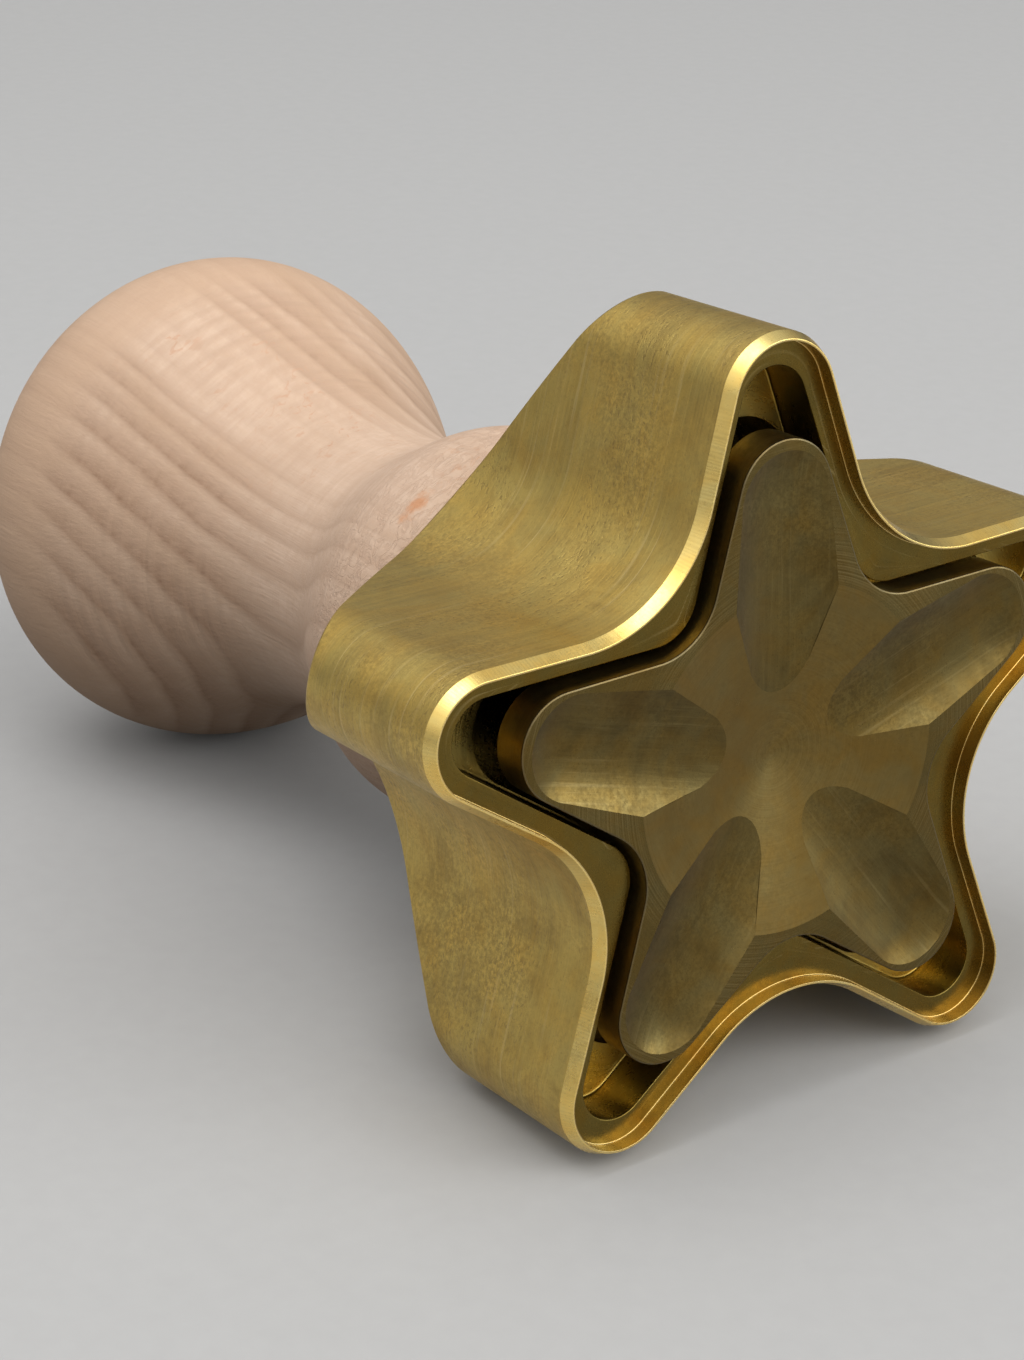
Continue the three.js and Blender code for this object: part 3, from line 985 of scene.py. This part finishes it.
def beech():
    """Raw turned beech: growth rings cut by the turned form, rays across them, fibres and turning lines.

    In the grain's frame X runs through the rings, Z along the fibres and Y along the rings.
    """
    s = Shader("raw_beech")
    source = s.add("ShaderNodeTexCoord").outputs["Object"]

    def stretched(vector, scale, **more):
        return s.add("ShaderNodeMapping", {"Vector": vector, "Scale": scale, **more}).outputs["Vector"]

    grain = stretched(source, (1000, 1000, 1000), Rotation=GRAIN_LIE)
    fibres = stretched(grain, (1, 1, 0.06))
    through = s.parts(grain)["X"]
    wander = s.between(s.noise(fibres, 0.11, 3, 0.5), 0, 1, -0.9, 0.9)
    uneven = s.times(s.math("SINE", s.times(through, 0.47)), -0.35)
    layer = s.plus(s.plus(s.math("SUBTRACT", through, RING_START), wander), uneven)
    rings = s.math("FRACT", s.math("DIVIDE", layer, RING_WIDTH))
    fading = ((0, 1), (0.14, 0.76), (0.4, 0.42), (0.6, 0.13), (0.72, 0), (0.86, 0.25), (1, 1))
    late = s.ramp(rings, [(place, (dark, dark, dark)) for place, dark in fading])
    off_heart = s.math("ABSOLUTE", s.math("SUBTRACT", through, RING_START))
    depth = s.times(s.parts(source)["Z"], -1000)
    sanded = s.between(depth, SANDED_FROM, SANDED_FROM + 4)
    raw = s.math("SUBTRACT", 1.0, sanded)
    bold = s.times(s.between(off_heart, 3, 9, 0.2, 1.05), s.between(sanded, 0, 1, 1, 0.25))
    bold = s.times(bold, s.between(depth, NECK_DEPTH + 2, NECK_DEPTH + 16, 0.4, 1))
    bold = s.times(bold, s.between(s.noise(fibres, 0.09, 2), 0.35, 0.65, 0.65, 1.15))
    bold = s.times(bold, s.between(through, 7, 19, 1, 0.5))
    broad = s.noise(fibres, 0.12, 4, 0.6)
    fine = s.noise(fibres, 2.2, 4, 0.65)
    rays = s.noise(stretched(grain, (0.16, 1.7, 0.62)), 1.0, 3, 0.6)
    flecks = s.noise(stretched(grain, (0.5, 1.7, 0.8)), 1.0, 2, 0.5, 1.2)
    flecked = s.times(s.between(flecks, 0.585, 0.69), s.between(off_heart, 8, 3, 0.1, 1.0))
    flecked = s.times(flecked, s.between(s.noise(grain, 0.1, 2), 0.42, 0.58))
    flecked = s.times(flecked, raw)
    turning = s.noise(stretched(source, (20, 20, 1900)), 1.0, 3, 0.7)
    passes = s.math("SINE", s.times(depth, tau / TURNING_PITCH))
    shaken = s.times(s.between(depth, NECK_DEPTH + 4, NECK_DEPTH + 14), raw)
    shaken = s.times(shaken, s.between(s.noise(grain, 0.08, 2), 0.38, 0.62, 0.1, 1.0))
    passes = s.times(s.between(passes, -0.6, 1.0), shaken)
    collar = s.between(depth, COLLAR_DEPTH + 2, COLLAR_DEPTH + 5, 1, 0)
    cells = s.noise(stretched(grain, (0.4, 0.9, 0.9)), 1.0, 3, 0.6, 0.8)
    laced = s.between(s.math("ABSOLUTE", s.math("SUBTRACT", cells, 0.5)), 0.0, 0.07, 1, 0)
    ridges = s.between(s.math("SINE", s.times(depth, tau / RIDGE_PITCH)), 0.2, 1.0)
    ridges = s.times(ridges, s.between(depth, COLLAR_DEPTH - 1, COLLAR_DEPTH + 2))
    laced = s.times(s.math("MAXIMUM", laced, ridges), collar)
    # Paler towards the neck and collar: painted light. Paler at the heart: the wood's own tone.
    pale = s.between(depth, NECK_DEPTH + 16, NECK_DEPTH + 4)
    pale = s.math("MAXIMUM", pale, s.between(off_heart, 7, 3, 0, 0.8))
    tone = s.ramp(broad, ((0.3, BEECH_DULL), (0.7, BEECH_BRIGHT)))
    tone = s.mix(s.times(pale, 0.6), tone, BEECH_PALE_AND_PAINTED_LIGHT)
    tone = s.mix(s.times(sanded, 0.7), tone, BEECH_SANDED)
    tone = s.mix(s.times(late, bold), tone, LATE_WOOD)
    tone = s.mix(s.between(rays, 0.4, 0.62, 0, 0.32), tone, RAY_TONE)
    tone = s.mix(s.between(fine, 0.4, 0.75, 0, 0.26), tone, FIBRE_TONE)
    tone = s.mix(s.times(flecked, 0.75), tone, FLECK_TONE)
    tone = s.mix(s.times(passes, 0.32), tone, PASS_TONE)
    tone = s.mix(s.between(turning, 0.38, 0.62, 0.2, 0), tone, TURNED_TONE)
    tone = s.mix(s.times(laced, 0.45), tone, LACE_TONE)
    tone = s.mix(ray_fleck(s, grain), tone, RAY_FLECK_TONE)
    height = s.math("SUBTRACT", passes, s.times(laced, 0.6))
    height = s.plus(s.plus(fine, turning), height)
    haze = s.between(fine, 0.3, 0.7, 0.62, 0.78)
    return s.finish(colour=tone, roughness=haze, normal=s.bump(height, 0.00006), metal=0.0, specular=0.3)


def steel(name, tone, rough):
    """Plain bright steel with fine turning lines and a thin film of oil that clouds it."""
    s = Shader(name)
    place = s.coordinates("Object", (1000, 1000, 1000))
    turning = s.coordinates("Object", (60, 60, 9000))
    clouds = s.noise(place, 0.3, 4)
    rings = s.noise(turning, 1.0, 2)
    colour = s.mix(s.between(clouds, 0.35, 0.7), tone, [c * 0.72 for c in tone])
    haze = s.between(s.plus(clouds, rings), 0.7, 1.3, rough - 0.08, rough + 0.1)
    return s.finish(colour=colour, roughness=haze, normal=s.bump(rings, 0.00003), metal=1.0)


# Finishes: tones, roughness, tool lines per millimetre, their depth in metres, then sheen, stains and marks
SHINE = (0.86, 0.68, 0.32)
WALL_TONES = (0.72, 0.50, 0.142), (0.50, 0.36, 0.107), (0.29, 0.198, 0.066)
wall_brass = brass(
    "wall_brass", WALL_TONES, 0.42, (0.05, 6.0, 1), 0.00002, stretch=0.25,
    stains=0.6, speckle=0.6, film=0.6, marks=((hatched, WALL_TONES[2], 0.7), (scratched, SHINE, 0.28)),
)
BEVEL_TONES = (0.955, 0.70, 0.26), (0.83, 0.595, 0.205), (0.52, 0.365, 0.115)
# The worn edge mark on the bevel is partly a painted highlight.
bevel_brass = brass(
    "bevel_brass", BEVEL_TONES, 0.3, (1.6, 0.2, 1), 0.000004, stains=0.2, speckle=0.12,
    marks=((chattered, BEVEL_TONES[2], 0.28), (worn_edge_and_highlight, SHINE, 0.6)),
)
LIP_TONES = (0.66, 0.465, 0.19), (0.56, 0.39, 0.155), (0.37, 0.255, 0.095)
# The worn edge mark on the lip is partly a painted highlight.
lip_brass = brass(
    "lip_brass", LIP_TONES, 0.27, (0.1, 3.0, 1), 0.000002, stains=0.3, speckle=0.08,
    marks=((worn_edge_and_highlight, SHINE, 0.2),),
)
# The ledge's tones are brass darkened well below its own colour: painted shade, standing in for dark
# surroundings mirrored in it.
LEDGE_TONES_PAINTED_SHADE = (0.184, 0.1215, 0.029), (0.142, 0.094, 0.023), (0.09, 0.06, 0.016)
ledge_brass = brass(
    "ledge_brass", LEDGE_TONES_PAINTED_SHADE, 0.27, (0.1, 4.0, 1), 0.000005, speckle=0.15,
    marks=((scratched, SHINE, 0.15),),
)
POCKET_TONES = (0.41, 0.29, 0.082), (0.315, 0.222, 0.061), (0.16, 0.11, 0.03)
pocket_brass = brass("pocket_brass", POCKET_TONES, 0.3, (0.1, 7.0, 1), 0.00002)
# The margin's tones are tarnished brass, darkened further as painted shade standing in for dark surroundings
# mirrored in it.
MARGIN_TONES_PAINTED_SHADE = (0.146, 0.099, 0.0315), (0.1145, 0.077, 0.0245), (0.069, 0.048, 0.0165)
margin_brass = brass(
    "margin_brass", MARGIN_TONES_PAINTED_SHADE, 0.28, (0.08, 3.0, 1), 0.00001, stretch=0.4, turn=0.25,
    marks=((faced, SHINE, 0.1),),
)
# The scoops' tones are tarnished brass, darkened further as painted shade standing in for dark surroundings
# mirrored in them.
SCOOP_TONES_PAINTED_SHADE = (0.172, 0.120, 0.0415), (0.121, 0.0825, 0.0285), (0.0645, 0.0428, 0.0148)
scoop_brass = brass(
    "scoop_brass", SCOOP_TONES_PAINTED_SHADE, 0.34, (0.4, 5.0, 1), 0.000006, stains=0.6, speckle=0.5,
    marks=((scratched, SHINE, 0.05),),
)
# The dish's tones are tarnished brass, darkened further as painted shade standing in for dark surroundings
# mirrored in it.
DISH_TONES_PAINTED_SHADE = (0.201, 0.133, 0.0425), (0.153, 0.1005, 0.0325), (0.1015, 0.066, 0.0218)
dish_brass = brass(
    "dish_brass", DISH_TONES_PAINTED_SHADE, 0.35, (0.5, 2.0, 1), 0.000003, stretch=0.25, turn=0.25, speckle=0.45,
    marks=((faced, SHINE, 0.03),),
)
SIDE_TONES = (0.42, 0.315, 0.128), (0.30, 0.22, 0.09), (0.13, 0.092, 0.04)
side_brass = brass("side_brass", SIDE_TONES, 0.36, (0.1, 6.0, 1), 0.00002, stains=0.7)
EDGE_TONES = (0.185, 0.139, 0.073), (0.143, 0.106, 0.054), (0.084, 0.061, 0.031)
edge_brass = brass("edge_brass", EDGE_TONES, 0.36, (0.3, 5.0, 1), 0.00001)
INSERT_TONES = (0.70, 0.53, 0.2), (0.56, 0.41, 0.15), (0.36, 0.26, 0.09)
insert_brass = brass("insert_brass", INSERT_TONES, 0.33, (0.1, 6.0, 1), 0.00002)
bright_steel = steel("bright_steel", (0.56, 0.57, 0.58), 0.3)
wire_steel = steel("wire_steel", (0.42, 0.43, 0.44), 0.35)
raw_beech = beech()


# Pieces


def fit(piece, body, node):
    """The piece moves with a body and stands for a CAD node, which it hides."""
    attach(piece, body)
    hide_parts(node)
    return piece


cutter = cutter_body([wall_brass, bevel_brass, lip_brass, ledge_brass, pocket_brass])
fit(cutter, "cutter", "cutter_body")
fit(wooden_handle(raw_beech), "cutter", "wooden_handle")
plate = ejector_plate([margin_brass, scoop_brass, dish_brass, side_brass, edge_brass])
fit(plate, "ejector", "ejector_plate")
fit(stem(bright_steel), "ejector", "ejector_stem")
jam_nut = nut("jam_nut", JAM_NUT_FRONT, JAM_NUT_FRONT + JAM_NUT, bright_steel)
fit(jam_nut, "ejector", "stem_jam_nut")
lock_nut = nut("lock_nut", STOP_NUT_FRONT, STOP_NUT_FRONT + STOP_NUT, bright_steel)
fit(lock_nut, "ejector", "stop_nut")
washer_hole = STEM_RADIUS + SEAT_GAP
washer_radius = SPRING_BORE - SEAT_GAP
washer_back = WASHER_FRONT + WASHER
seat_washer = tube("seat_washer", washer_hole, washer_radius, WASHER_FRONT, washer_back, bright_steel)
fit(seat_washer, "cutter", "spring_seat_washer")
stop_back = STOP_WASHER_FRONT + WASHER
end_washer = tube("end_washer", STEM_HOLE, STOP_WASHER_RADIUS, STOP_WASHER_FRONT, stop_back, bright_steel)
fit(end_washer, "ejector", "stop_washer")
thread = threaded(STUD_RADIUS, STUD_CUT, STUD_PITCH, STUD_FRONT + THREAD_MARGIN, STUD_BACK - THREAD_MARGIN)
stud = tube("hollow_stud", STEM_HOLE, STUD_RADIUS - STUD_EASED, STUD_FRONT, STUD_BACK, bright_steel, thread)
fit(stud, "cutter", "handle_stud")
front = INSERT_FRONT + THREAD_MARGIN
thread = threaded(INSERT_RADIUS, INSERT_CUT, INSERT_PITCH, front, INSERT_BACK - THREAD_MARGIN)
outer = INSERT_RADIUS - INSERT_EASED
insert = tube("screw_insert", INSERT_BORE, outer, INSERT_FRONT, INSERT_BACK, insert_brass, thread)
fit(insert, "cutter", "handle_insert")
coil = fit(spring(wire_steel), "cutter", "ejector_spring")
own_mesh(coil)


# Floor, light and camera


def pale_floor():
    """Wide plain floor with a faint grain, pale where seen or mirrored, that throws back little light."""
    bpy.ops.mesh.primitive_plane_add(size=FLOOR_SIZE, location=(0, 0, 0))
    floor = bpy.context.object
    floor.name = "floor"
    s = Shader("pale_floor")
    place = s.coordinates("Object", (400, 400, 400))
    tone = s.mix(s.noise(place, 1.0, 3), *FLOOR_TONES)
    path = s.add("ShaderNodeLightPath").outputs
    seen = s.math("MAXIMUM", path["Is Camera Ray"], path["Is Glossy Ray"])
    seen = s.math("MAXIMUM", seen, path["Is Transmission Ray"])
    tone = s.mix(seen, FLOOR_BOUNCE, tone)
    floor.data.materials.append(s.finish(colour=tone, roughness=0.75, specular=0.2))


def softbox(name, towards, distance, width, height, power, colour=(1, 1, 1)):
    """Large soft light that shines at the stamp from a direction."""
    data = bpy.data.lights.new(name, "AREA")
    data.shape = "RECTANGLE"
    data.size = width
    data.size_y = height
    data.energy = power
    data.color = colour
    light = bpy.data.objects.new(name, data)
    bpy.context.scene.collection.objects.link(light)
    light.location = LIT_POINT + Vector(towards).normalized() * distance
    light.rotation_euler = (LIT_POINT - light.location).to_track_quat("-Z", "Y").to_euler()


def soft_dome(brightness, away, bright_side, dim_side):
    """Grey surroundings that brighten from the horizon to above, given at the sines of some elevations.

    They also dim towards one side, from one strength to another.
    """
    world = bpy.data.worlds.new("studio")
    bpy.context.scene.world = world
    world.use_nodes = True
    tree = world.node_tree
    source = tree.nodes.new("ShaderNodeTexCoord").outputs["Generated"]
    split = tree.nodes.new("ShaderNodeSeparateXYZ")
    tree.links.new(source, split.inputs[0])
    ramp = tree.nodes.new("ShaderNodeValToRGB")
    elements = ramp.color_ramp.elements
    while len(elements) < len(brightness):
        elements.new(0.5)
    for element, (height, level) in zip(elements, brightness):
        element.position = height
        element.color = (level, level, level, 1)
    tree.links.new(split.outputs["Z"], ramp.inputs[0])
    tree.links.new(ramp.outputs["Color"], tree.nodes["Background"].inputs["Color"])
    across = tree.nodes.new("ShaderNodeVectorMath")
    across.operation = "DOT_PRODUCT"
    tree.links.new(source, across.inputs[0])
    across.inputs[1].default_value = Vector(away).normalized()
    strength = tree.nodes.new("ShaderNodeMapRange")
    for socket, value in (("From Min", -1), ("From Max", 1), ("To Min", bright_side), ("To Max", dim_side)):
        strength.inputs[socket].default_value = value
    tree.links.new(across.outputs["Value"], strength.inputs["Value"])
    tree.links.new(strength.outputs["Result"], tree.nodes["Background"].inputs["Strength"])


def view_camera():
    """Camera at the photograph's point of view."""
    data = bpy.data.cameras.new("view")
    data.sensor_fit = "VERTICAL"
    data.sensor_height = SENSOR_HEIGHT
    data.lens = LENS
    data.clip_start = 0.01
    camera = bpy.data.objects.new("view", data)
    bpy.context.scene.collection.objects.link(camera)
    camera.location = EYE
    aim = (LOOKED_AT - EYE).to_track_quat("-Z", "Y").to_matrix().to_4x4()
    camera.rotation_euler = (aim @ Matrix.Rotation(ROLL, 4, "Z")).to_euler()
    bpy.context.scene.camera = camera


pale_floor()
soft_dome(DOME_LEVELS, DOME_DIM_SIDE, bright_side=1.3, dim_side=0.4)
softbox("overhead", (-0.1, -0.25, 0.96), distance=0.8, width=0.5, height=0.5, power=2.5)
softbox("front", (0.63, 0.75, 0.20), distance=3.2, width=1.5, height=1.4, power=28, colour=COOL_LIGHT)
softbox("front_high", (0.87, 0.27, 0.40), distance=1.6, width=1.2, height=1.0, power=7)
softbox("front_top", (0.70, 0.10, 0.69), distance=1.6, width=1.7, height=0.75, power=11)
view_camera()
bpy.context.scene.view_settings.view_transform = "Standard"
